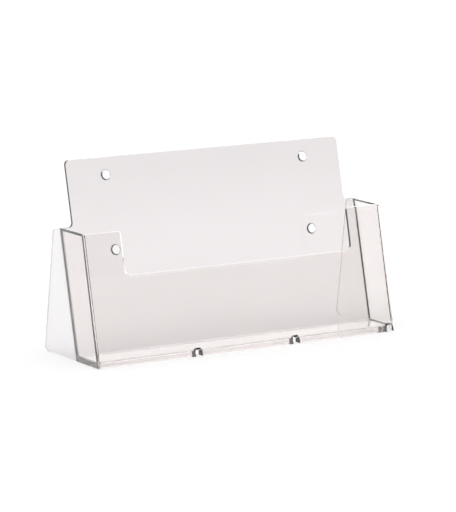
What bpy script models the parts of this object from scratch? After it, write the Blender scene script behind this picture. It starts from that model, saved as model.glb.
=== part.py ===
"""Clear landscape leaflet holder: a leaning pocket of bonded panels with two stand wings behind it.

Frame: +X to the right, +Y to the back, +Z up. The origin is under the middle of the whole holder, on the
surface that it stands on. Lengths are in metres.
"""

from math import atan2, cos, pi, radians, sin, tan

import bmesh
import bpy
from mathutils import Vector

# Overall sizes
WIDTH = 0.305
HEIGHT = 0.167
POCKET_DEPTH = 0.0394
STAND_DEPTH = 0.0936
POCKET_HEIGHT = 0.111

# Sheets
WALL = 0.0025
FLOOR_THICKNESS = 0.0040
WING_THICKNESS = 0.0020
FRONT_LEAN = radians(12.8)
BACK_LEAN = radians(13.6)
BOND_GAP = 0.0003

# Back panel
SHOULDER = 0.0122
BACK_CORNER_RADIUS = 0.0045
SHOULDER_RADIUS = 0.0040
SCREW_HOLE_DIAMETER = 0.0090
SCREW_HOLE_SPACING = 0.203
UPPER_HOLE_BELOW_TOP = 0.0150
LOWER_HOLE_BELOW_MOUTH = 0.0223

# Front panel
TAB_WIDTH = 0.0365
CUTOUT_DEPTH = 0.0372
CUTOUT_RADIUS = 0.0060
TAB_CORNER_RADIUS = 0.0020

# Slots at the foot of the front, one at the right-hand side of each of three equal bays
SLOT_BAYS = 3
SLOT_WIDTH = 0.0094
SLOT_HEIGHT = 0.0064
SLOT_RADIUS = 0.0040
SLOT_SETBACK = 0.0047
SLOT_REACH = 0.0050

# Stand wings
WING_TOP_DEPTH = 0.0120
WING_TOP_DROP = 0.0030
WING_FOOT_RADIUS = 0.0045
WING_TOP_RADIUS = 0.0030

# Smoothness and how far a cutter stands past what it cuts
ARC_STEP = radians(15)
HOLE_SIDES = 32
CUTTER_MARGIN = 0.004

FRONT_Y = -STAND_DEPTH / 2
INNER_WIDTH = WIDTH - 2 * WALL


def front_outer_y(z):
    """Y of the front panel's outer face at height z."""
    return FRONT_Y + z * tan(FRONT_LEAN)


def front_inner_y(z):
    """Y of the front panel's inner face at height z."""
    return front_outer_y(z) + WALL / cos(FRONT_LEAN)


def back_outer_y(z):
    """Y of the back panel's outer face at height z."""
    return FRONT_Y + POCKET_DEPTH + z * tan(BACK_LEAN)


def back_inner_y(z):
    """Y of the back panel's inner face at height z."""
    return back_outer_y(z) - WALL / cos(BACK_LEAN)


def rounded_outline(corners):
    """Points of a closed outline from its corners, each (u, v, radius), with an arc at each rounded corner."""
    points = []
    for index, (u, v, radius) in enumerate(corners):
        corner = Vector((u, v))
        if radius == 0:
            points.append(corner)
            continue
        before = Vector(corners[index - 1][:2])
        after = Vector(corners[(index + 1) % len(corners)][:2])
        to_before = (before - corner).normalized()
        to_after = (after - corner).normalized()
        half_angle = to_before.angle(to_after) / 2
        centre = corner + (to_before + to_after).normalized() * (radius / sin(half_angle))
        tangent_in = corner + to_before * (radius / tan(half_angle)) - centre
        tangent_out = corner + to_after * (radius / tan(half_angle)) - centre
        start = atan2(tangent_in.y, tangent_in.x)
        sweep = atan2(tangent_out.y, tangent_out.x) - start
        sweep = (sweep + pi) % (2 * pi) - pi
        steps = max(2, round(abs(sweep) / ARC_STEP))
        for step in range(steps + 1):
            angle = start + sweep * step / steps
            points.append(centre + radius * Vector((cos(angle), sin(angle))))
    return points


def clear_plastic(name):
    """Clear moulded plastic with a faint warm tint."""
    material = bpy.data.materials.new(name)
    material.use_nodes = True
    shader = material.node_tree.nodes["Principled BSDF"]
    shader.inputs["Base Color"].default_value = (0.93, 0.915, 0.905, 1.0)
    shader.inputs["Metallic"].default_value = 0.0
    shader.inputs["Roughness"].default_value = 0.06
    shader.inputs["Alpha"].default_value = 0.4
    return material


def prism(name, near_face, far_face):
    """A closed solid between two matching loops of points."""
    mesh = bpy.data.meshes.new(name)
    shape = bmesh.new()
    near = [shape.verts.new(point) for point in near_face]
    far = [shape.verts.new(point) for point in far_face]
    shape.faces.new(near)
    shape.faces.new(list(reversed(far)))
    for index, corner in enumerate(near):
        following = (index + 1) % len(near)
        shape.faces.new((corner, far[index], far[following], near[following]))
    bmesh.ops.recalc_face_normals(shape, faces=shape.faces)
    shape.to_mesh(mesh)
    shape.free()
    solid = bpy.data.objects.new(name, mesh)
    bpy.context.collection.objects.link(solid)
    return solid


def leaning_sheet(name, corners, outer_y, inner_y):
    """A panel whose outline is drawn as (x, z) and whose two faces follow the given leans."""
    outline = rounded_outline(corners)
    outer = [(u, outer_y(v), v) for u, v in outline]
    inner = [(u, inner_y(v), v) for u, v in outline]
    sheet = prism(name, outer, inner)
    sheet.data.materials.append(clear_plastic(name))
    return sheet


def upright_sheet(name, corners, outer_x, inner_x):
    """A panel whose outline is drawn as (y, z), standing between two values of X."""
    outline = rounded_outline(corners)
    outer = [(outer_x, u, v) for u, v in outline]
    inner = [(inner_x, u, v) for u, v in outline]
    sheet = prism(name, outer, inner)
    sheet.data.materials.append(clear_plastic(name))
    return sheet


def cut(solid, cutter):
    """Subtract a guide shape, which stays in the file as a hidden wire."""
    cutter.hide_render = True
    cutter.display_type = "WIRE"
    boolean = solid.modifiers.new("cut " + cutter.name, "BOOLEAN")
    boolean.operation = "DIFFERENCE"
    boolean.solver = "EXACT"
    boolean.object = cutter


def screw_hole_cutter(name, x, z):
    """A round bar square to the back panel, through its middle at (x, z)."""
    length = WALL + 2 * CUTTER_MARGIN
    bpy.ops.mesh.primitive_cylinder_add(vertices=HOLE_SIDES, radius=SCREW_HOLE_DIAMETER / 2, depth=length)
    bar = bpy.context.object
    bar.name = name
    bar.rotation_euler.x = pi / 2 - BACK_LEAN
    bar.location = (x, (back_outer_y(z) + back_inner_y(z)) / 2, z)
    return bar


def slot_centres():
    """X of each slot, set back from the right-hand side of its bay."""
    bay = INNER_WIDTH / SLOT_BAYS
    return [-INNER_WIDTH / 2 + bay * (number + 1) - SLOT_SETBACK for number in range(SLOT_BAYS)]


def slot_cutter(name, x):
    """An arch that runs through the front panel's foot and a little way into the floor panel."""
    half = SLOT_WIDTH / 2
    arch = rounded_outline([
        (x - half, -CUTTER_MARGIN, 0),
        (x - half, SLOT_HEIGHT, SLOT_RADIUS),
        (x + half, SLOT_HEIGHT, SLOT_RADIUS),
        (x + half, -CUTTER_MARGIN, 0),
    ])
    near_y = FRONT_Y - CUTTER_MARGIN
    far_y = front_inner_y(0) + SLOT_REACH
    return prism(name, [(u, near_y, v) for u, v in arch], [(u, far_y, v) for u, v in arch])


def make_back_panel():
    half = WIDTH / 2 - SHOULDER
    panel = leaning_sheet("back_panel", [
        (-WIDTH / 2, 0, 0),
        (WIDTH / 2, 0, 0),
        (WIDTH / 2, POCKET_HEIGHT, 0),
        (half, POCKET_HEIGHT, SHOULDER_RADIUS),
        (half, HEIGHT, BACK_CORNER_RADIUS),
        (-half, HEIGHT, BACK_CORNER_RADIUS),
        (-half, POCKET_HEIGHT, SHOULDER_RADIUS),
        (-WIDTH / 2, POCKET_HEIGHT, 0),
    ], back_outer_y, back_inner_y)
    heights = {"upper": HEIGHT - UPPER_HOLE_BELOW_TOP, "lower": POCKET_HEIGHT - LOWER_HOLE_BELOW_MOUTH}
    for level, z in heights.items():
        for side, x in (("left", -SCREW_HOLE_SPACING / 2), ("right", SCREW_HOLE_SPACING / 2)):
            cut(panel, screw_hole_cutter(f"{level}_{side}_screw_hole", x, z))


def make_front_panel():
    half = WIDTH / 2 - TAB_WIDTH
    sill = POCKET_HEIGHT - CUTOUT_DEPTH
    return leaning_sheet("front_panel", [
        (-WIDTH / 2, 0, 0),
        (WIDTH / 2, 0, 0),
        (WIDTH / 2, POCKET_HEIGHT, 0),
        (half, POCKET_HEIGHT, TAB_CORNER_RADIUS),
        (half, sill, CUTOUT_RADIUS),
        (-half, sill, CUTOUT_RADIUS),
        (-half, POCKET_HEIGHT, TAB_CORNER_RADIUS),
        (-WIDTH / 2, POCKET_HEIGHT, 0),
    ], front_outer_y, front_inner_y)


def make_floor_panel():
    profile = [
        (front_inner_y(0) + BOND_GAP, 0, 0),
        (back_inner_y(0) - BOND_GAP, 0, 0),
        (back_inner_y(FLOOR_THICKNESS) - BOND_GAP, FLOOR_THICKNESS, 0),
        (front_inner_y(FLOOR_THICKNESS) + BOND_GAP, FLOOR_THICKNESS, 0),
    ]
    half = INNER_WIDTH / 2 - BOND_GAP
    return upright_sheet("floor_panel", profile, -half, half)


def make_end_wall(side, sign):
    top = POCKET_HEIGHT
    outline = [
        (front_inner_y(0) + BOND_GAP, 0, 0),
        (back_inner_y(0) - BOND_GAP, 0, 0),
        (back_inner_y(top) - BOND_GAP, top, 0),
        (front_inner_y(top) + BOND_GAP, top, 0),
    ]
    upright_sheet(f"{side}_end_wall", outline, sign * WIDTH / 2, sign * INNER_WIDTH / 2)


def make_stand_wing(side, sign):
    top = POCKET_HEIGHT
    rear_top = top - WING_TOP_DROP
    rear_top_y = back_outer_y(top) + WING_TOP_DEPTH
    rear_foot_y = FRONT_Y + STAND_DEPTH
    foot_angle = atan2(rear_top, rear_foot_y - rear_top_y)
    lost_to_rounding = WING_FOOT_RADIUS * (1 / tan(foot_angle / 2) - 1)
    outline = [
        (back_outer_y(0) + BOND_GAP, 0, 0),
        (rear_foot_y + lost_to_rounding, 0, WING_FOOT_RADIUS),
        (rear_top_y, rear_top, WING_TOP_RADIUS),
        (back_outer_y(top) + BOND_GAP, top, 0),
    ]
    outer_x = sign * WIDTH / 2
    upright_sheet(f"{side}_stand_wing", outline, outer_x, outer_x - sign * WING_THICKNESS)


for old in list(bpy.data.objects):
    bpy.data.objects.remove(old, do_unlink=True)

make_back_panel()
front = make_front_panel()
floor = make_floor_panel()
for slot_number, slot_x in enumerate(slot_centres(), start=1):
    arch_cutter = slot_cutter(f"slot_{slot_number}", slot_x)
    cut(front, arch_cutter)
    cut(floor, arch_cutter)
for side_name, side_sign in (("left", -1), ("right", 1)):
    make_end_wall(side_name, side_sign)
    make_stand_wing(side_name, side_sign)
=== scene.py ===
import math

import bmesh
import bpy
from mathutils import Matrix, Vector


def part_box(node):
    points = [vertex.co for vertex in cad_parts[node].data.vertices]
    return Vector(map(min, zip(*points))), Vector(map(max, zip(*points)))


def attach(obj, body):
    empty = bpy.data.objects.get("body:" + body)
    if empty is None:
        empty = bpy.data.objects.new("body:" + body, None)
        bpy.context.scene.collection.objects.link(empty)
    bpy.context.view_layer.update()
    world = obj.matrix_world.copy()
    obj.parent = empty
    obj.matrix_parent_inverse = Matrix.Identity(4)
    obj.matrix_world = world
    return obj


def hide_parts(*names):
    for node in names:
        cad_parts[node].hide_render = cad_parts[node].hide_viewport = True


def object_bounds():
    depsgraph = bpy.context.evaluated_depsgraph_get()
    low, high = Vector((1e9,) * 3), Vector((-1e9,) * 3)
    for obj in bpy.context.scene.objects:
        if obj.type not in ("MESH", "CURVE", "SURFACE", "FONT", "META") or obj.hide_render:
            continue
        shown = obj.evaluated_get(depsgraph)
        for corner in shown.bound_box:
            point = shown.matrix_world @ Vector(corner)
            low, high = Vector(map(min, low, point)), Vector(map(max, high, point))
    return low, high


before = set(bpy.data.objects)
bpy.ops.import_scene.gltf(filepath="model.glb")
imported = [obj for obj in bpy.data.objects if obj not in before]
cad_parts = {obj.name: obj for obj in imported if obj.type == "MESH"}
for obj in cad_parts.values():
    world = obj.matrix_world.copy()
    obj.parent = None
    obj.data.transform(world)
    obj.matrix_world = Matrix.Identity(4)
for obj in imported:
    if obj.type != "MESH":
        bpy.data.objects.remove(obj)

cad_low, cad_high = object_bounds()


# --- The studio ---------------------------------------------------------------------------------------------
# A white table that runs on without an edge, in a white room. What the clear sheets mirror is dimmer at the
# viewer's side than behind and above, as it is in a studio where only the background and the ceiling are lit.

CAMERA_TURN = math.radians(32.16)
CAMERA_DIP = math.radians(10.26)
CAMERA_LENS = 219.08
CAMERA_PLACE = Vector((-1.4254, cad_low.y - 2.2287, 0.5613))

camera_data = bpy.data.cameras.new("camera")
camera_data.lens = CAMERA_LENS
camera_data.sensor_width = 36.0
camera_data.clip_start = 0.05
camera_data.clip_end = 50.0
camera = bpy.data.objects.new("camera", camera_data)
camera.location = CAMERA_PLACE
camera.rotation_euler = (math.pi / 2 - CAMERA_DIP, 0.0, -CAMERA_TURN)
bpy.context.collection.objects.link(camera)
bpy.context.scene.camera = camera
bpy.context.scene.view_settings.view_transform = "Standard"

# Light bounces a few times along a clear sheet before it gets out at an edge.
MIRROR_STEPS = 6
LIGHT_STEPS = 18
bpy.context.scene.cycles.max_bounces = LIGHT_STEPS
bpy.context.scene.cycles.glossy_bounces = MIRROR_STEPS
bpy.context.scene.cycles.transmission_bounces = LIGHT_STEPS


def step(tree, kind, joins, **options):
    """Adds a node to a tree, sets its options, and sets or links each of its named inputs."""
    node = tree.nodes.new(kind)
    for option, value in options.items():
        setattr(node, option, value)
    for socket, value in joins.items():
        if isinstance(value, bpy.types.NodeSocket):
            tree.links.new(value, node.inputs[socket])
        else:
            node.inputs[socket].default_value = value
    return node


ROOM_WHITE = 1.10
ROOM_FRONT = 0.6
ROOM_BACK = 1.7
ROOM_TOP = 6.0
# Between these directions one brightness turns into the next, as shares of a unit vector's Y and Z.
FRONT_TO_BACK = (-0.7, 0.3)
WALL_TO_CEILING = (0.6, 0.95)
# Light that a sheet has mirrored at least once has a glossy depth above this.
FIRST_MIRROR = 0.5

room = bpy.data.worlds.new("white_room")
bpy.context.scene.world = room
room.use_nodes = True
room.node_tree.nodes.clear()
direction = step(room.node_tree, "ShaderNodeTexCoord", {})
split = step(room.node_tree, "ShaderNodeSeparateXYZ", {0: direction.outputs["Generated"]})
from_front = step(room.node_tree, "ShaderNodeMapRange", {
    "Value": split.outputs["Y"], "From Min": FRONT_TO_BACK[0], "From Max": FRONT_TO_BACK[1],
    "To Min": ROOM_FRONT, "To Max": ROOM_BACK,
}, interpolation_type="SMOOTHSTEP")
from_above = step(room.node_tree, "ShaderNodeMapRange", {
    "Value": split.outputs["Z"], "From Min": WALL_TO_CEILING[0], "From Max": WALL_TO_CEILING[1],
    "To Min": 0.0, "To Max": ROOM_TOP,
}, interpolation_type="SMOOTHSTEP")
brighter = step(room.node_tree, "ShaderNodeMath", {0: from_front.outputs[0], 1: from_above.outputs[0]},
                operation="MAXIMUM")
path = step(room.node_tree, "ShaderNodeLightPath", {})
mirrored = step(room.node_tree, "ShaderNodeMath", {0: path.outputs["Glossy Depth"], 1: FIRST_MIRROR},
                operation="GREATER_THAN")
level = step(room.node_tree, "ShaderNodeMix", {
    "Factor": mirrored.outputs[0], "A": ROOM_WHITE, "B": brighter.outputs[0],
})
sky = step(room.node_tree, "ShaderNodeBackground", {"Strength": level.outputs["Result"]})
step(room.node_tree, "ShaderNodeOutputWorld", {"Surface": sky.outputs[0]})

TABLE_HALF = 12.0
TABLE_DROP = 0.0002
TABLE_WHITE = 0.50
TABLE_GLOW = 0.60
TABLE_GLOW_MIRRORED = 0.5

table_mesh = bpy.data.meshes.new("table")
table_corners = [
    (x * TABLE_HALF, y * TABLE_HALF, -TABLE_DROP) for x, y in ((-1, -1), (1, -1), (1, 1), (-1, 1))]
table_mesh.from_pydata(table_corners, [], [(0, 1, 2, 3)])
table = bpy.data.objects.new("table", table_mesh)
bpy.context.collection.objects.link(table)
table_look = bpy.data.materials.new("white_table")
table_look.use_nodes = True
table_shader = table_look.node_tree.nodes["Principled BSDF"]
table_shader.inputs["Base Color"].default_value = (TABLE_WHITE, TABLE_WHITE, TABLE_WHITE, 1.0)
table_shader.inputs["Roughness"].default_value = 0.9
table_shader.inputs["Specular IOR Level"].default_value = 0.0
table_path = step(table_look.node_tree, "ShaderNodeLightPath", {})
in_mirror = step(table_look.node_tree, "ShaderNodeMath", {
    0: table_path.outputs["Glossy Depth"], 1: FIRST_MIRROR,
}, operation="GREATER_THAN")
table_glow = step(table_look.node_tree, "ShaderNodeMix", {
    "Factor": in_mirror.outputs[0], "A": TABLE_GLOW, "B": TABLE_GLOW_MIRRORED,
})
table_shader.inputs["Emission Color"].default_value = (1.0, 1.0, 1.0, 1.0)
table_look.node_tree.links.new(table_glow.outputs["Result"], table_shader.inputs["Emission Strength"])
table_mesh.materials.append(table_look)


# --- Back panel ---------------------------------------------------------------------------------------------
# The tall leaning sheet that the leaflets rest against, in clear polystyrene. Its wide lower part closes the
# pocket, its upper part is stepped in at both sides, and four screw holes for wall use taper to the front.

WALL = 0.0025
BOND = 0.0001
BACK_LEAN = math.radians(13.6)
BACK_DEPTH = WALL / math.cos(BACK_LEAN)
SHOULDER = 0.0122
BACK_CORNER = 0.0045
SHOULDER_CORNER = 0.0040
MOUTH_CORNER = 0.0010
ARC_POINTS = 12
HOLE_RADIUS = 0.0041
HOLE_DRAFT = math.radians(19.0)
HOLE_SPACING = 0.203
HOLE_SIDES = 64
DRILL_LENGTH = 0.012
NEAR_HOLE = 1.5
UPPER_HOLES_BELOW_TOP = 0.0150
LOWER_HOLES_BELOW_MOUTH = 0.0223
EDGE_ROUNDING = 0.0004
SAME_POINT = 0.000002
AT_EDGE = 0.0001
BACK_TINT = (0.90, 0.86, 0.865)
# Painted shade: none up to the first height, then darker and darker as far as the second, by the third value
# at most.
BACK_PAINTED_SHADE = (0.085, 0.167, 0.07)
# Strength of the painted glow on the back's top edge.
BACK_PAINTED_GLOW = 0.35
TOP_EDGE_DEPTH = 0.002
TOP_EDGE_END = 0.003
LEFT_EDGE_DEPTH = 0.004

back_low, back_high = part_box("back_panel")
WIDTH = back_high.x - back_low.x
HEIGHT = back_high.z
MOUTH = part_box("left_end_wall")[1].z
BACK_FOOT = back_low.y


def drawn_outline(name, corners):
    """The outline of a sheet as a loop of corners (along, up, radius)."""
    count = len(corners)
    mesh = bpy.data.meshes.new(name)
    sides = [(k, (k + 1) % count) for k in range(count)]
    mesh.from_pydata([(u, v, 0.0) for u, v, radius in corners], sides, [])
    radii = mesh.attributes.new("corner_radius", "FLOAT", "POINT")
    radii.data.foreach_set("value", [radius for u, v, radius in corners])
    piece = bpy.data.objects.new(name, mesh)
    bpy.context.collection.objects.link(piece)
    return piece


def new_shape_tree(name, inputs):
    """A Geometry Nodes tree with a geometry input and output and the given named inputs."""
    tree = bpy.data.node_groups.new(name, "GeometryNodeTree")
    tree.interface.new_socket("Geometry", in_out="INPUT", socket_type="NodeSocketGeometry")
    for label, kind in inputs.items():
        tree.interface.new_socket(label, in_out="INPUT", socket_type="NodeSocket" + kind)
    tree.interface.new_socket("Geometry", in_out="OUTPUT", socket_type="NodeSocketGeometry")
    return tree, tree.nodes.new("NodeGroupInput").outputs


def moulded_sheet_tree():
    """Rounds and fills an outline, gives it thickness, and leans, turns and places it."""
    tree, given = new_shape_tree("moulded_sheet", {
        "Thickness": "Float", "Lean": "Float", "Turn": "Float", "Place": "Vector", "Arc Points": "Int",
        "Material": "Material",
    })
    radius = step(tree, "GeometryNodeInputNamedAttribute", {"Name": "corner_radius"}, data_type="FLOAT")
    loop = step(tree, "GeometryNodeMeshToCurve", {"Mesh": given["Geometry"]})
    rounded = step(tree, "GeometryNodeFilletCurve", {
        "Curve": loop.outputs[0], "Count": given["Arc Points"], "Radius": radius.outputs["Attribute"],
        "Limit Radius": True,
    }, mode="POLY")
    face = step(tree, "GeometryNodeFillCurve", {"Curve": rounded.outputs[0]}, mode="NGONS")
    clean = step(tree, "GeometryNodeMergeByDistance", {"Geometry": face.outputs[0], "Distance": SAME_POINT})
    up = step(tree, "ShaderNodeCombineXYZ", {"Z": given["Thickness"]})
    thick = step(tree, "GeometryNodeExtrudeMesh", {
        "Mesh": clean.outputs[0], "Offset": up.outputs[0], "Offset Scale": 1.0, "Individual": False,
    }, mode="FACES")
    under = step(tree, "GeometryNodeFlipFaces", {"Mesh": clean.outputs[0]})
    both = tree.nodes.new("GeometryNodeJoinGeometry")
    tree.links.new(thick.outputs["Mesh"], both.inputs[0])
    tree.links.new(under.outputs[0], both.inputs[0])
    closed = step(tree, "GeometryNodeMergeByDistance", {"Geometry": both.outputs[0], "Distance": SAME_POINT})

    at = step(tree, "ShaderNodeSeparateXYZ", {0: tree.nodes.new("GeometryNodeInputPosition").outputs[0]})
    slope = step(tree, "ShaderNodeMath", {0: given["Lean"]}, operation="TANGENT")
    back = step(tree, "ShaderNodeMath", {0: at.outputs["Y"], 1: slope.outputs[0], 2: at.outputs["Z"]},
                operation="MULTIPLY_ADD")
    stood = step(tree, "ShaderNodeCombineXYZ", {
        "X": at.outputs["X"], "Y": back.outputs[0], "Z": at.outputs["Y"],
    })
    leaning = step(tree, "GeometryNodeSetPosition", {
        "Geometry": closed.outputs[0], "Position": stood.outputs[0],
    })
    outward = step(tree, "GeometryNodeFlipFaces", {"Mesh": leaning.outputs[0]})

    turn = step(tree, "ShaderNodeCombineXYZ", {"Z": given["Turn"]})
    placed = step(tree, "GeometryNodeTransform", {
        "Geometry": outward.outputs[0], "Rotation": turn.outputs[0], "Translation": given["Place"],
    })
    real = step(tree, "GeometryNodeRealizeInstances", {"Geometry": placed.outputs[0]})
    painted = step(tree, "GeometryNodeSetMaterial", {
        "Geometry": real.outputs[0], "Material": given["Material"],
    })
    step(tree, "NodeGroupOutput", {0: painted.outputs[0]})
    return tree


def screw_holes_tree():
    """Drills two rows of tapered screw holes square to a leaning sheet."""
    tree, given = new_shape_tree("screw_holes", {
        "Spacing": "Float", "Upper Z": "Float", "Lower Z": "Float", "Middle Y": "Float", "Lean": "Float",
        "Radius": "Float", "Draft": "Float", "Drill Length": "Float", "Sides": "Int", "Material": "Material",
    })
    half = step(tree, "ShaderNodeMath", {0: given["Spacing"], 1: -0.5}, operation="MULTIPLY")
    stride = step(tree, "ShaderNodeCombineXYZ", {"X": given["Spacing"]})
    slope = step(tree, "ShaderNodeMath", {0: given["Lean"]}, operation="TANGENT")
    rows = tree.nodes.new("GeometryNodeJoinGeometry")
    for height in (given["Upper Z"], given["Lower Z"]):
        middle = step(tree, "ShaderNodeMath", {0: height, 1: slope.outputs[0], 2: given["Middle Y"]},
                      operation="MULTIPLY_ADD")
        left_hole = step(tree, "ShaderNodeCombineXYZ", {
            "X": half.outputs[0], "Y": middle.outputs[0], "Z": height,
        })
        row = step(tree, "GeometryNodeMeshLine", {
            "Count": 2, "Start Location": left_hole.outputs[0], "Offset": stride.outputs[0],
        }, mode="OFFSET")
        tree.links.new(row.outputs[0], rows.inputs[0])
    flare = step(tree, "ShaderNodeMath", {0: given["Draft"]}, operation="TANGENT")
    half_drill = step(tree, "ShaderNodeMath", {0: given["Drill Length"], 1: 0.5}, operation="MULTIPLY")
    widening = step(tree, "ShaderNodeMath", {0: flare.outputs[0], 1: half_drill.outputs[0]},
                    operation="MULTIPLY")
    rear_radius = step(tree, "ShaderNodeMath", {0: given["Radius"], 1: widening.outputs[0]}, operation="ADD")
    front_radius = step(tree, "ShaderNodeMath", {0: given["Radius"], 1: widening.outputs[0]},
                        operation="SUBTRACT")
    bit = step(tree, "GeometryNodeMeshCone", {
        "Vertices": given["Sides"], "Radius Top": rear_radius.outputs[0],
        "Radius Bottom": front_radius.outputs[0], "Depth": given["Drill Length"],
    })
    back_off = step(tree, "ShaderNodeMath", {0: half_drill.outputs[0], 1: -1.0}, operation="MULTIPLY")
    down = step(tree, "ShaderNodeCombineXYZ", {"Z": back_off.outputs[0]})
    centred = step(tree, "GeometryNodeTransform", {
        "Geometry": bit.outputs["Mesh"], "Translation": down.outputs[0],
    })
    tilt = step(tree, "ShaderNodeMath", {0: -math.pi / 2, 1: given["Lean"]}, operation="SUBTRACT")
    aim = step(tree, "ShaderNodeCombineXYZ", {"X": tilt.outputs[0]})
    bits = step(tree, "GeometryNodeInstanceOnPoints", {
        "Points": rows.outputs[0], "Instance": centred.outputs[0], "Rotation": aim.outputs[0],
    })
    solid_bits = step(tree, "GeometryNodeRealizeInstances", {"Geometry": bits.outputs[0]})
    drilled = step(tree, "GeometryNodeMeshBoolean", {
        "Mesh 1": given["Geometry"], "Mesh 2": solid_bits.outputs[0],
    }, operation="DIFFERENCE", solver="EXACT")
    real = step(tree, "GeometryNodeRealizeInstances", {"Geometry": drilled.outputs["Mesh"]})
    painted = step(tree, "GeometryNodeSetMaterial", {
        "Geometry": real.outputs[0], "Material": given["Material"],
    })
    step(tree, "NodeGroupOutput", {0: painted.outputs[0]})
    return tree


def run_tree(piece, tree, sizes):
    """Runs a Geometry Nodes tree on a piece and keeps what it makes as the piece's plain mesh."""
    modifier = piece.modifiers.new(tree.name, "NODES")
    modifier.node_group = tree
    for item in tree.interface.items_tree:
        if item.in_out == "INPUT" and item.name in sizes:
            modifier[item.identifier] = sizes[item.name]
    keep_evaluated(piece)


def keep_evaluated(piece):
    """Makes a piece's modifiers into its plain mesh."""
    drawn = piece.data
    depsgraph = bpy.context.evaluated_depsgraph_get()
    made = bpy.data.meshes.new_from_object(
        piece.evaluated_get(depsgraph), preserve_all_data_layers=True, depsgraph=depsgraph)
    piece.modifiers.clear()
    piece.data = made
    bpy.data.meshes.remove(drawn)
    made.name = piece.name


ROUNDING_STEPS = 3
SHARP_EDGE = math.radians(40)
NEARLY_FLAT = math.radians(0.5)


def round_edges(piece, radius, chosen):
    """Rounds the sharp edges whose two ends both pass a test, as the polished edges of a moulding are."""
    shape = bmesh.new()
    shape.from_mesh(piece.data)
    bmesh.ops.remove_doubles(shape, verts=shape.verts, dist=SAME_POINT)
    bmesh.ops.dissolve_limit(shape, angle_limit=NEARLY_FLAT, verts=shape.verts, edges=shape.edges,
                             delimit={"SHARP"})
    sharp = [edge for edge in shape.edges
             if len(edge.link_faces) == 2 and edge.calc_face_angle() > SHARP_EDGE
             and all(chosen(corner.co) for corner in edge.verts)]
    bmesh.ops.bevel(shape, geom=sharp, offset=radius, offset_type="OFFSET", segments=ROUNDING_STEPS,
                    profile=0.5, affect="EDGES", clamp_overlap=True)
    bmesh.ops.recalc_face_normals(shape, faces=shape.faces)
    shape.to_mesh(piece.data)
    shape.free()


def mark_faces(piece, name, worth):
    """Gives each face of a piece a value, such as 1 where a test is true and 0 elsewhere."""
    mark = piece.data.attributes.new(name, "FLOAT", "FACE")
    mark.data.foreach_set("value", [float(worth(face)) for face in piece.data.polygons])


SHADED_SHARP = math.radians(35)


def shade_flat_faces_true(piece):
    """Smooth shading on rounded edges that leaves the large flat faces exactly flat."""
    piece.data.shade_smooth()
    piece.data.set_sharp_from_angle(angle=SHADED_SHARP)
    weighted = piece.modifiers.new("flat_faces_true", "WEIGHTED_NORMAL")
    weighted.mode = "FACE_AREA"
    weighted.weight = 100
    weighted.keep_sharp = True
    keep_evaluated(piece)


REFRACTION = 1.58
INSIDE_COLOUR = (0.10, 0.07, 0.05, 1.0)
INSIDE_DENSITY = 0.5
FLOW_SCALE = 40.0
FLOW_STRETCH = (0.35, 1.0, 1.0)
FLOW_DARKEST = 0.985
WAVE_STRENGTH = 0.02
WAVE_DEPTH = 0.001
RUBBED_SCALE = 900.0
RUBBED_ROUGHNESS = 0.03


def surface_group():
    """Moulded clear plastic close up: faint flow waves, rubbed marks, and painted shade that darkens it
    between two heights.
    """
    group = bpy.data.node_groups.new("moulded_surface", "ShaderNodeTree")
    for label, kind in (("Colour", "Color"), ("Flow Scale", "Float"), ("Rubbed Roughness", "Float"),
                        ("Shade Starts At", "Float"), ("Full Shade At", "Float"), ("Most Painted Shade", "Float")):
        group.interface.new_socket(label, in_out="INPUT", socket_type="NodeSocket" + kind)
    for label, kind in (("Colour", "Color"), ("Roughness", "Float"), ("Height", "Float")):
        group.interface.new_socket(label, in_out="OUTPUT", socket_type="NodeSocket" + kind)
    given = group.nodes.new("NodeGroupInput").outputs
    place = step(group, "ShaderNodeTexCoord", {})
    stretched = step(group, "ShaderNodeMapping", {
        "Vector": place.outputs["Object"], "Scale": FLOW_STRETCH,
    })
    flow = step(group, "ShaderNodeTexNoise", {
        "Vector": stretched.outputs[0], "Scale": given["Flow Scale"], "Detail": 2.0, "Roughness": 0.4,
    })
    streaks = step(group, "ShaderNodeMapRange", {
        "Value": flow.outputs[0], "From Min": 0.3, "From Max": 0.7, "To Min": FLOW_DARKEST, "To Max": 1.0,
    })
    height = step(group, "ShaderNodeSeparateXYZ", {0: place.outputs["Object"]})
    # Painted shade: the colour darkens from one height to the other, by up to a share.
    height_shade_share = step(group, "ShaderNodeMapRange", {
        "Value": height.outputs["Z"], "From Min": given["Shade Starts At"], "From Max": given["Full Shade At"],
        "To Min": 0.0, "To Max": given["Most Painted Shade"],
    }, interpolation_type="SMOOTHSTEP")
    kept = step(group, "ShaderNodeMath", {0: 1.0, 1: height_shade_share.outputs[0]}, operation="SUBTRACT")
    let_through = step(group, "ShaderNodeMath", {0: kept.outputs[0], 1: streaks.outputs[0]},
                       operation="MULTIPLY")
    tinted = step(group, "ShaderNodeVectorMath", {0: given["Colour"], "Scale": let_through.outputs[0]},
                  operation="SCALE")
    rubbed = step(group, "ShaderNodeTexNoise", {
        "Vector": place.outputs["Object"], "Scale": RUBBED_SCALE, "Detail": 3.0, "Roughness": 0.6,
    })
    marks = step(group, "ShaderNodeMapRange", {
        "Value": rubbed.outputs[0], "From Min": 0.62, "From Max": 0.8, "To Min": 0.0, "To Max": 1.0,
    })
    haze = step(group, "ShaderNodeMath", {0: marks.outputs[0], 1: given["Rubbed Roughness"]},
                operation="MULTIPLY")
    step(group, "NodeGroupOutput", {
        "Colour": tinted.outputs[0], "Roughness": haze.outputs[0], "Height": flow.outputs[0],
    })
    return group


moulded_surface = surface_group()


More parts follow.
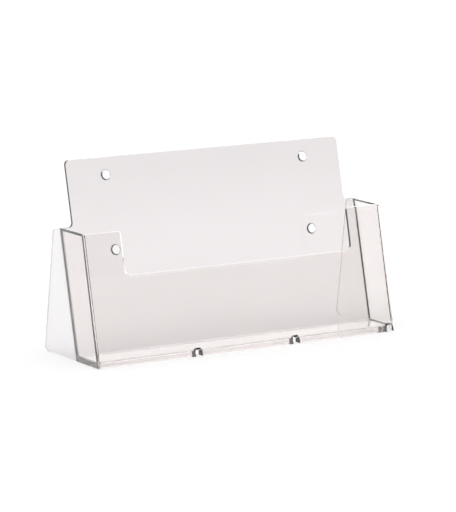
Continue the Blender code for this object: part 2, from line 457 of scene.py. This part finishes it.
def clear_plastic(name, tint, painted_height_shade=(0.0, 1.0, 0.0), painted_glow=0.0):
    """Clear polystyrene with its own tint, and painted shade that grows from one height to another up to a
    share.
    Faces marked "rim" get a painted glow, and faces marked "painted_black" get painted shade that makes them
    black."""
    look = bpy.data.materials.new(name)
    look.use_nodes = True
    tree = look.node_tree
    shader = tree.nodes["Principled BSDF"]
    surface = step(tree, "ShaderNodeGroup", {}, node_tree=moulded_surface)
    surface.inputs["Colour"].default_value = (*tint, 1.0)
    surface.inputs["Flow Scale"].default_value = FLOW_SCALE
    surface.inputs["Rubbed Roughness"].default_value = RUBBED_ROUGHNESS
    for label, value in zip(("Shade Starts At", "Full Shade At", "Most Painted Shade"), painted_height_shade):
        surface.inputs[label].default_value = value
    wave = step(tree, "ShaderNodeBump", {
        "Height": surface.outputs["Height"], "Strength": WAVE_STRENGTH, "Distance": WAVE_DEPTH,
    })
    shader.inputs["IOR"].default_value = REFRACTION
    shader.inputs["Transmission Weight"].default_value = 1.0
    # Painted shade: faces marked painted_black get a black base colour, black from every side.
    black_paint = step(tree, "ShaderNodeAttribute", {}, attribute_name="painted_black")
    not_painted_black = step(tree, "ShaderNodeMath", {0: 1.0, 1: black_paint.outputs["Fac"]}, operation="SUBTRACT")
    seen = step(tree, "ShaderNodeVectorMath", {0: surface.outputs["Colour"], "Scale": not_painted_black.outputs[0]},
                operation="SCALE")
    tree.links.new(seen.outputs[0], shader.inputs["Base Color"])
    tree.links.new(surface.outputs["Roughness"], shader.inputs["Roughness"])
    tree.links.new(wave.outputs[0], shader.inputs["Normal"])
    # Painted glow: faces marked rim give out light as emission, though the plastic is no lamp.
    if painted_glow:
        rim = step(tree, "ShaderNodeAttribute", {}, attribute_name="rim")
        lit = step(tree, "ShaderNodeVectorMath", {0: rim.outputs["Vector"], "Scale": painted_glow},
                   operation="SCALE")
        tree.links.new(lit.outputs[0], shader.inputs["Emission Color"])
        shader.inputs["Emission Strength"].default_value = 1.0
    inside = step(tree, "ShaderNodeVolumeAbsorption", {"Color": INSIDE_COLOUR, "Density": INSIDE_DENSITY})
    tree.links.new(inside.outputs[0], tree.nodes["Material Output"].inputs["Volume"])
    return look


moulded_sheet = moulded_sheet_tree()
back_half = WIDTH / 2 - SHOULDER
back_sheet = drawn_outline("back_sheet", [
    (-WIDTH / 2, 0, 0),
    (WIDTH / 2, 0, 0),
    (WIDTH / 2, MOUTH, MOUTH_CORNER),
    (back_half, MOUTH, SHOULDER_CORNER),
    (back_half, HEIGHT, BACK_CORNER),
    (-back_half, HEIGHT, BACK_CORNER),
    (-back_half, MOUTH, SHOULDER_CORNER),
    (-WIDTH / 2, MOUTH, MOUTH_CORNER),
])
back_look = clear_plastic("clear_plastic_back", BACK_TINT, BACK_PAINTED_SHADE, BACK_PAINTED_GLOW)
run_tree(back_sheet, moulded_sheet, {
    "Thickness": BACK_DEPTH, "Lean": BACK_LEAN, "Turn": 0.0, "Place": (0.0, BACK_FOOT, 0.0),
    "Arc Points": ARC_POINTS, "Material": back_look,
})


def back_inner_y(z):
    """Y of the back panel's pocket face at height z."""
    return BACK_FOOT + z * math.tan(BACK_LEAN)


def back_edge_shows(point):
    """True away from the joints with the end walls, the floor and the wings."""
    return abs(point.x) < WIDTH / 2 - AT_EDGE and point.z > AT_EDGE


def on_hole(point):
    """True on the rim of a screw hole."""
    across = abs(abs(point.x) - HOLE_SPACING / 2)
    up = min(abs(point.z - upper_holes), abs(point.z - lower_holes))
    return math.hypot(across, up) < HOLE_RADIUS * NEAR_HOLE


upper_holes = HEIGHT - UPPER_HOLES_BELOW_TOP
lower_holes = MOUTH - LOWER_HOLES_BELOW_MOUTH
round_edges(back_sheet, EDGE_ROUNDING, back_edge_shows)
run_tree(back_sheet, screw_holes_tree(), {
    "Spacing": HOLE_SPACING, "Upper Z": upper_holes, "Lower Z": lower_holes,
    "Middle Y": BACK_FOOT + BACK_DEPTH / 2, "Lean": BACK_LEAN, "Radius": HOLE_RADIUS, "Draft": HOLE_DRAFT,
    "Drill Length": DRILL_LENGTH, "Sides": HOLE_SIDES, "Material": back_look,
})
round_edges(back_sheet, EDGE_ROUNDING, on_hole)


def back_painted_glow(face):
    """1 on the top edge, which gets a painted glow."""
    at_top = face.normal.z > 0.5 and face.center.z > HEIGHT - TOP_EDGE_DEPTH
    return at_top and abs(face.center.x) < back_half - TOP_EDGE_END


def back_left_edge(face):
    """True on the left edge of the upper part, which gets painted shade: black from every side."""
    at_left = face.normal.x < -0.5 and face.center.x < LEFT_EDGE_DEPTH - back_half
    return at_left and face.center.z > MOUTH


# The top edge gets a painted glow.
mark_faces(back_sheet, "rim", back_painted_glow)
# The left edge of the upper part gets painted shade: black from every side.
mark_faces(back_sheet, "painted_black", back_left_edge)
shade_flat_faces_true(back_sheet)
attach(back_sheet, "root")
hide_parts("back_panel")


# --- Front panel --------------------------------------------------------------------------------------------
# The low leaning sheet across the front of the pocket, in the same clear polystyrene. A wide cutout leaves a
# tab at each side, and three small arched slots at its foot run on into the floor.

FRONT_LEAN = math.radians(12.8)
FRONT_DEPTH = WALL / math.cos(FRONT_LEAN)
TAB_WIDTH = 0.0365
CUTOUT_DEPTH = 0.0372
CUTOUT_CORNER = 0.0060
TAB_CORNER = 0.0020
SLOT_BAYS = 3
SLOT_WIDTH = 0.0070
SLOT_HEIGHT = 0.0051
SLOT_CORNER = 0.0016
SLOT_SETBACK = 0.0028
SLOT_LENGTH = 0.0076
SLOT_OVERRUN = 0.001
SLOT_ARC_POINTS = 8
SLOT_SIDE_DRAFT = math.radians(11.0)
SLOT_TOP_DRAFT = math.radians(22.0)
FRONT_ROUNDING = 0.0002
FRONT_TINT = (0.975, 0.955, 0.945)
# Painted shade near the floor: none down to the first height, then darker and darker as far as the second, by
# the third value at most.
FRONT_PAINTED_SHADE = (0.045, 0.012, 0.045)
# Strength of the painted glow on the sill and the tab tops.
FRONT_PAINTED_GLOW = 0.6
RIGHT_CORNER = 0.0015
# Strength of the painted glow on the right corner.
RIGHT_CORNER_PAINTED_GLOW = 1.1
SILL_EDGE_DEPTH = 0.002

FRONT_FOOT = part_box("front_panel")[0].y
front_half = WIDTH / 2 - TAB_WIDTH
SILL = MOUTH - CUTOUT_DEPTH


def front_inner_y(z):
    """Y of the front panel's pocket face at height z."""
    return FRONT_FOOT + FRONT_DEPTH + z * math.tan(FRONT_LEAN)


def foot_slots_tree():
    """Cuts a row of arched slots through whatever stands at the front's foot. The cutters start an overrun
    before it, and each slot rises and widens to the left on its way back."""
    tree, given = new_shape_tree("foot_slots", {
        "Count": "Int", "First X": "Float", "Spacing": "Float", "Front Y": "Float", "Width": "Float",
        "Height": "Float", "Corner": "Float", "Length": "Float", "Overrun": "Float", "Side Draft": "Float",
        "Top Draft": "Float", "Arc Points": "Int", "Material": "Material",
    })
    first_slot = step(tree, "ShaderNodeCombineXYZ", {"X": given["First X"], "Y": given["Front Y"]})
    stride = step(tree, "ShaderNodeCombineXYZ", {"X": given["Spacing"]})
    row = step(tree, "GeometryNodeMeshLine", {
        "Count": given["Count"], "Start Location": first_slot.outputs[0], "Offset": stride.outputs[0],
    }, mode="OFFSET")
    tall = step(tree, "ShaderNodeMath", {0: given["Height"], 1: 2.0}, operation="MULTIPLY")
    box = step(tree, "GeometryNodeCurvePrimitiveQuadrilateral", {
        "Width": given["Width"], "Height": tall.outputs[0],
    }, mode="RECTANGLE")
    arch = step(tree, "GeometryNodeFilletCurve", {
        "Curve": box.outputs[0], "Count": given["Arc Points"], "Radius": given["Corner"],
        "Limit Radius": True,
    }, mode="POLY")
    face = step(tree, "GeometryNodeFillCurve", {"Curve": arch.outputs[0]}, mode="NGONS")
    clean = step(tree, "GeometryNodeMergeByDistance", {"Geometry": face.outputs[0], "Distance": SAME_POINT})
    whole_length = step(tree, "ShaderNodeMath", {0: given["Length"], 1: given["Overrun"]}, operation="ADD")
    along = step(tree, "ShaderNodeCombineXYZ", {"Z": whole_length.outputs[0]})
    long = step(tree, "GeometryNodeExtrudeMesh", {
        "Mesh": clean.outputs[0], "Offset": along.outputs[0], "Offset Scale": 1.0, "Individual": False,
    }, mode="FACES")
    under = step(tree, "GeometryNodeFlipFaces", {"Mesh": clean.outputs[0]})
    both = tree.nodes.new("GeometryNodeJoinGeometry")
    tree.links.new(long.outputs["Mesh"], both.inputs[0])
    tree.links.new(under.outputs[0], both.inputs[0])
    closed = step(tree, "GeometryNodeMergeByDistance", {"Geometry": both.outputs[0], "Distance": SAME_POINT})

    at = step(tree, "ShaderNodeSeparateXYZ", {0: tree.nodes.new("GeometryNodeInputPosition").outputs[0]})
    depth = step(tree, "ShaderNodeMath", {0: at.outputs["Z"], 1: given["Overrun"]}, operation="SUBTRACT")
    half_width = step(tree, "ShaderNodeMath", {0: given["Width"], 1: 0.5}, operation="MULTIPLY")
    left_part = step(tree, "ShaderNodeMath", {0: at.outputs["X"], 1: 0.0}, operation="MINIMUM")
    flares = []
    for part, whole, draft in ((left_part.outputs[0], half_width.outputs[0], given["Side Draft"]),
                               (at.outputs["Y"], given["Height"], given["Top Draft"])):
        slope = step(tree, "ShaderNodeMath", {0: draft}, operation="TANGENT")
        share = step(tree, "ShaderNodeMath", {0: part, 1: whole}, operation="DIVIDE")
        spread = step(tree, "ShaderNodeMath", {0: share.outputs[0], 1: slope.outputs[0]},
                      operation="MULTIPLY")
        flares.append(spread.outputs[0])
    wide = step(tree, "ShaderNodeMath", {0: depth.outputs[0], 1: flares[0], 2: at.outputs["X"]},
                operation="MULTIPLY_ADD")
    high = step(tree, "ShaderNodeMath", {0: depth.outputs[0], 1: flares[1], 2: at.outputs["Y"]},
                operation="MULTIPLY_ADD")
    lying = step(tree, "ShaderNodeCombineXYZ", {
        "X": wide.outputs[0], "Y": depth.outputs[0], "Z": high.outputs[0],
    })
    bar = step(tree, "GeometryNodeSetPosition", {"Geometry": closed.outputs[0], "Position": lying.outputs[0]})
    flat_sided = step(tree, "GeometryNodeTriangulate", {"Mesh": bar.outputs[0]})
    outward = step(tree, "GeometryNodeFlipFaces", {"Mesh": flat_sided.outputs[0]})

    bars = step(tree, "GeometryNodeInstanceOnPoints", {
        "Points": row.outputs[0], "Instance": outward.outputs[0],
    })
    solid_bars = step(tree, "GeometryNodeRealizeInstances", {"Geometry": bars.outputs[0]})
    slotted = step(tree, "GeometryNodeMeshBoolean", {
        "Mesh 1": given["Geometry"], "Mesh 2": solid_bars.outputs[0],
    }, operation="DIFFERENCE", solver="EXACT")
    real = step(tree, "GeometryNodeRealizeInstances", {"Geometry": slotted.outputs["Mesh"]})
    painted = step(tree, "GeometryNodeSetMaterial", {
        "Geometry": real.outputs[0], "Material": given["Material"],
    })
    step(tree, "NodeGroupOutput", {0: painted.outputs[0]})
    return tree


foot_slots = foot_slots_tree()
bay = (WIDTH - 2 * WALL) / SLOT_BAYS
first_slot_x = -WIDTH / 2 + WALL + bay - SLOT_SETBACK
slot_sizes = {
    "Count": SLOT_BAYS, "First X": first_slot_x, "Spacing": bay, "Front Y": FRONT_FOOT, "Width": SLOT_WIDTH,
    "Height": SLOT_HEIGHT, "Corner": SLOT_CORNER, "Length": SLOT_LENGTH, "Overrun": SLOT_OVERRUN,
    "Side Draft": SLOT_SIDE_DRAFT, "Top Draft": SLOT_TOP_DRAFT, "Arc Points": SLOT_ARC_POINTS,
}
slot_flare = SLOT_LENGTH * math.tan(SLOT_TOP_DRAFT)
front_sheet = drawn_outline("front_sheet", [
    (-WIDTH / 2, 0, 0),
    (WIDTH / 2, 0, 0),
    (WIDTH / 2, MOUTH, 0),
    (front_half, MOUTH, TAB_CORNER),
    (front_half, SILL, CUTOUT_CORNER),
    (-front_half, SILL, CUTOUT_CORNER),
    (-front_half, MOUTH, TAB_CORNER),
    (-WIDTH / 2, MOUTH, MOUTH_CORNER),
])
front_look = clear_plastic("clear_plastic_front", FRONT_TINT, FRONT_PAINTED_SHADE, FRONT_PAINTED_GLOW)
run_tree(front_sheet, moulded_sheet, {
    "Thickness": FRONT_DEPTH, "Lean": FRONT_LEAN, "Turn": 0.0, "Place": (0.0, FRONT_FOOT, 0.0),
    "Arc Points": ARC_POINTS, "Material": front_look,
})


def front_edge_shows(point):
    """True on the cutout and tabs, above the slots."""
    return abs(point.x) < WIDTH / 2 - AT_EDGE and point.z > SLOT_HEIGHT + slot_flare


def in_slot_wall(face):
    """True on the sides and the arch of a foot slot, but not on its far end."""
    nearest = min(abs(face.center.x - first_slot_x - k * bay) for k in range(SLOT_BAYS))
    beside = nearest < SLOT_WIDTH / 2 + slot_flare
    before_end = face.center.y < FRONT_FOOT + SLOT_LENGTH + SLOT_OVERRUN
    over_foot = 2 * AT_EDGE < face.center.z < SLOT_HEIGHT + slot_flare
    side_or_arch = abs(face.normal.y) < 0.8 and face.normal.z < 0.1
    return beside and before_end and over_foot and side_or_arch


def right_outer_corner(point):
    """True on the upright edge where the front face turns to the right end."""
    on_outer_face = abs(point.y - FRONT_FOOT - point.z * math.tan(FRONT_LEAN)) < AT_EDGE
    return on_outer_face and point.x > WIDTH / 2 - AT_EDGE


round_edges(front_sheet, FRONT_ROUNDING, front_edge_shows)
round_edges(front_sheet, RIGHT_CORNER, right_outer_corner)
run_tree(front_sheet, foot_slots, {**slot_sizes, "Material": front_look})


def front_painted_glow(face):
    """1 on the sill and the tops of the tabs, and more on the right corner, for a painted glow that is
    brightest there.
    """
    if face.center.x > WIDTH / 2 - RIGHT_CORNER and face.normal.x > 0.1 and face.normal.y < -0.1:
        return RIGHT_CORNER_PAINTED_GLOW
    return face.normal.z > 0.5 and face.center.z > SILL - SILL_EDGE_DEPTH


# The sill, the tab tops and the right corner get a painted glow.
mark_faces(front_sheet, "rim", front_painted_glow)
# The slot walls get painted shade: black from every side.
mark_faces(front_sheet, "painted_black", in_slot_wall)
shade_flat_faces_true(front_sheet)
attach(front_sheet, "root")
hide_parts("front_panel")


# --- Floor --------------------------------------------------------------------------------------------------
# The thick strip that the leaflets stand on, in clear polystyrene. It meets the front and the back panel in
# rounded inner corners and is fused to them, so light runs from one into the other.

FLOOR_THICKNESS = 0.0040
COVE = 0.0016
COVE_STEPS = 8
FLOOR_TINT = (1.0, 0.99, 0.985)
# Strengths of the painted glow on the floor's top and on its underside.
FLOOR_PAINTED_GLOW = 0.05
UNDERSIDE_PAINTED_GLOW = 0.02


def arc(middle, radius, start, end, steps):
    """Points from one angle to another round a middle, angles from +Y towards +Z."""
    angles = [start + (end - start) * k / steps for k in range(steps + 1)]
    return [(middle[0] + radius * math.cos(a), middle[1] + radius * math.sin(a)) for a in angles]


def new_piece(name, shape, look):
    """Makes a finished bmesh shape into a piece with its material."""
    mesh = bpy.data.meshes.new(name)
    shape.to_mesh(mesh)
    shape.free()
    mesh.materials.append(look)
    piece = bpy.data.objects.new(name, mesh)
    bpy.context.collection.objects.link(piece)
    return piece


def loft(name, near, far, look):
    """A closed solid between two matching loops of points."""
    shape = bmesh.new()
    first = [shape.verts.new(point) for point in near]
    last = [shape.verts.new(point) for point in far]
    shape.faces.new(first)
    shape.faces.new(list(reversed(last)))
    for k, corner in enumerate(first):
        following = (k + 1) % len(first)
        shape.faces.new((corner, last[k], last[following], first[following]))
    bmesh.ops.recalc_face_normals(shape, faces=shape.faces)
    return new_piece(name, shape, look)


cove_height = FLOOR_THICKNESS + COVE
front_cove = (front_inner_y(cove_height) + COVE / math.cos(FRONT_LEAN), cove_height)
back_cove = (back_inner_y(cove_height) - COVE / math.cos(BACK_LEAN), cove_height)
front_arc = arc(front_cove, COVE, -math.pi / 2, -math.pi - FRONT_LEAN, COVE_STEPS)
back_arc = arc(back_cove, COVE, -BACK_LEAN, -math.pi / 2, COVE_STEPS)
front_tip = front_arc[-1][1]
back_tip = back_arc[0][1]
floor_section = [
    (front_inner_y(0) - BOND, 0.0), (back_inner_y(0) + BOND, 0.0), (back_inner_y(back_tip) + BOND, back_tip),
    *back_arc, *front_arc, (front_inner_y(front_tip) - BOND, front_tip),
]
floor_look = clear_plastic("clear_plastic_floor", FLOOR_TINT, painted_glow=1.0)
floor_half = WIDTH / 2 - WALL + BOND
left_section, right_section = [[(x, y, z) for y, z in floor_section] for x in (-floor_half, floor_half)]
floor_strip = loft("floor_strip", left_section, right_section, floor_look)
run_tree(floor_strip, foot_slots, {**slot_sizes, "Material": floor_look})


def floor_painted_glow(face):
    """A faint painted glow all along the floor's top, and less on its underside."""
    if face.normal.z > 0.5:
        return FLOOR_PAINTED_GLOW
    return UNDERSIDE_PAINTED_GLOW if face.normal.z < -0.9 and face.center.z < AT_EDGE else 0.0


# The floor gets a faint painted glow.
mark_faces(floor_strip, "rim", floor_painted_glow)
# The slot walls get painted shade: black from every side.
mark_faces(floor_strip, "painted_black", in_slot_wall)
shade_flat_faces_true(floor_strip)
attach(floor_strip, "root")
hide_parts("floor_panel")


# --- End walls ----------------------------------------------------------------------------------------------
# The two upright sheets that close the pocket's ends, in clear polystyrene, rounded off at the top. Each is
# fused to the front, the back and the floor in rounded inner corners, but the left one's front joint is dry.

# The plastic's tint, darker on the left sheet as painted shade: both end walls are one and the same clear
# plastic.
END_TINTS_AND_PAINTED_SHADE = {"left": (0.80, 0.775, 0.765), "right": (0.91, 0.89, 0.885)}
TOP_ROUNDING = 0.0024
TOP_STEPS = 10
DRY_GAP = 0.0001


def cove_depth(from_side, from_floor):
    """How far a rounded inner corner stands out from the wall, at distances from the side and the floor."""
    across = max(0.0, COVE - from_side)
    down = max(0.0, COVE - from_floor)
    return COVE - math.sqrt(max(0.0, COVE ** 2 - min(COVE, across) ** 2 - min(COVE, down) ** 2))


def pocket_face_rows(fused_in_front):
    """Rows of points (depth, y, z) up the pocket face, each point standing out by its cove depth."""
    fine = [COVE * (1 - math.sin(math.pi / 2 * k / COVE_STEPS)) for k in range(COVE_STEPS, -1, -1)]
    heights = [(0.0, COVE), (FLOOR_THICKNESS - BOND, COVE), (FLOOR_THICKNESS - BOND, 0.0)]
    heights += [(FLOOR_THICKNESS + d, d) for d in fine]
    heights += [(MOUTH, COVE)]
    rows = []
    for z, from_floor in heights:
        front = front_inner_y(z)
        back = back_inner_y(z)
        if fused_in_front:
            stations = [(front - BOND, 0.0)] + [(front + d / math.cos(FRONT_LEAN), d) for d in fine]
        else:
            stations = [(front + DRY_GAP, COVE)]
        stations += [(back - d / math.cos(BACK_LEAN), d) for d in reversed(fine)]
        stations += [(back + BOND, 0.0)]
        rows.append([(cove_depth(from_side, from_floor), y, z) for y, from_side in stations])
    return rows


def outer_face_profile():
    """Points (x, z) up the outer face, which curves in at the top."""
    turns = [math.pi / 2 * k / TOP_STEPS for k in range(TOP_STEPS + 1)]
    curve = [(WIDTH / 2 - TOP_ROUNDING * (1 - math.cos(a)), MOUTH - TOP_ROUNDING * (1 - math.sin(a)))
             for a in turns]
    return [(WIDTH / 2, 0.0)] + curve


def end_wall(name, sign, fused_in_front, look):
    """An end wall as a grid of points on its pocket face, closed by its outer face."""
    shape = bmesh.new()
    inner = [[shape.verts.new((sign * (WIDTH / 2 - WALL - depth), y, z)) for depth, y, z in row]
             for row in pocket_face_rows(fused_in_front)]
    for lower, upper in zip(inner, inner[1:]):
        for k in range(len(lower) - 1):
            shape.faces.new((lower[k], lower[k + 1], upper[k + 1], upper[k]))
    front_offset = -BOND if fused_in_front else DRY_GAP
    outer = [(shape.verts.new((sign * x, front_inner_y(z) + front_offset, z)),
              shape.verts.new((sign * x, back_inner_y(z) + BOND, z))) for x, z in outer_face_profile()]
    for (lower_front, lower_back), (upper_front, upper_back) in zip(outer, outer[1:]):
        shape.faces.new((lower_front, lower_back, upper_back, upper_front))
    shape.faces.new([*inner[0], outer[0][1], outer[0][0]])
    shape.faces.new([*reversed(inner[-1]), outer[-1][0], outer[-1][1]])
    shape.faces.new([row[0] for row in reversed(inner)] + [front for front, back in outer])
    shape.faces.new([row[-1] for row in inner] + [back for front, back in reversed(outer)])
    bmesh.ops.remove_doubles(shape, verts=shape.verts, dist=SAME_POINT / 2)
    bmesh.ops.recalc_face_normals(shape, faces=shape.faces)
    return new_piece(name, shape, look)


for side, sign in (("left", -1), ("right", 1)):
    end_look = clear_plastic("clear_plastic_" + side + "_end", END_TINTS_AND_PAINTED_SHADE[side])
    end_sheet = end_wall(side + "_end_sheet", sign, side == "right", end_look)
    shade_flat_faces_true(end_sheet)
    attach(end_sheet, "root")
    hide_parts(side + "_end_wall")


# --- Stand wings --------------------------------------------------------------------------------------------
# The two thin sheets behind the pocket that hold it at its lean, in clear polystyrene. Each is fused to the
# back panel's rear face at one end and slopes down to a rounded heel.

WING_THICKNESS = 0.0020
WING_TOP_DEPTH = 0.0120
WING_TOP_DROP = 0.0030
WING_FOOT_CORNER = 0.0045
WING_TOP_CORNER = 0.0030
# The plastic's tint, darker on the left wing as painted shade: both wings are one and the same clear plastic.
WING_TINTS_AND_PAINTED_SHADE = {"left": (0.77, 0.755, 0.76), "right": (0.89, 0.885, 0.87)}


def back_outer_y(z):
    """Y of the back panel's rear face at height z."""
    return back_inner_y(z) + BACK_DEPTH


def wing_edge_shows(point):
    """True away from the joint with the back panel."""
    return point.y > back_outer_y(point.z) + 2 * AT_EDGE


wing_top = MOUTH - WING_TOP_DROP
wing_top_y = back_outer_y(MOUTH) + WING_TOP_DEPTH
heel_slope = math.atan2(wing_top, cad_high.y - wing_top_y)
heel_y = cad_high.y + WING_FOOT_CORNER * (1 / math.tan(heel_slope / 2) - 1)
for side, sign in (("left", -1), ("right", 1)):
    wing = drawn_outline(side + "_wing", [
        (back_outer_y(0) - BOND, 0, 0),
        (heel_y, 0, WING_FOOT_CORNER),
        (wing_top_y, wing_top, WING_TOP_CORNER),
        (back_outer_y(MOUTH) - BOND, MOUTH, 0),
    ])
    outer_x = sign * WIDTH / 2
    right_face_x = max(outer_x, outer_x - sign * WING_THICKNESS)
    wing_look = clear_plastic("clear_plastic_" + side + "_wing", WING_TINTS_AND_PAINTED_SHADE[side])
    run_tree(wing, moulded_sheet, {
        "Thickness": WING_THICKNESS, "Lean": 0.0, "Turn": math.pi / 2, "Place": (right_face_x, 0.0, 0.0),
        "Arc Points": ARC_POINTS, "Material": wing_look,
    })
    round_edges(wing, EDGE_ROUNDING, wing_edge_shows)
    shade_flat_faces_true(wing)
    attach(wing, "root")
    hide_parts(side + "_stand_wing")
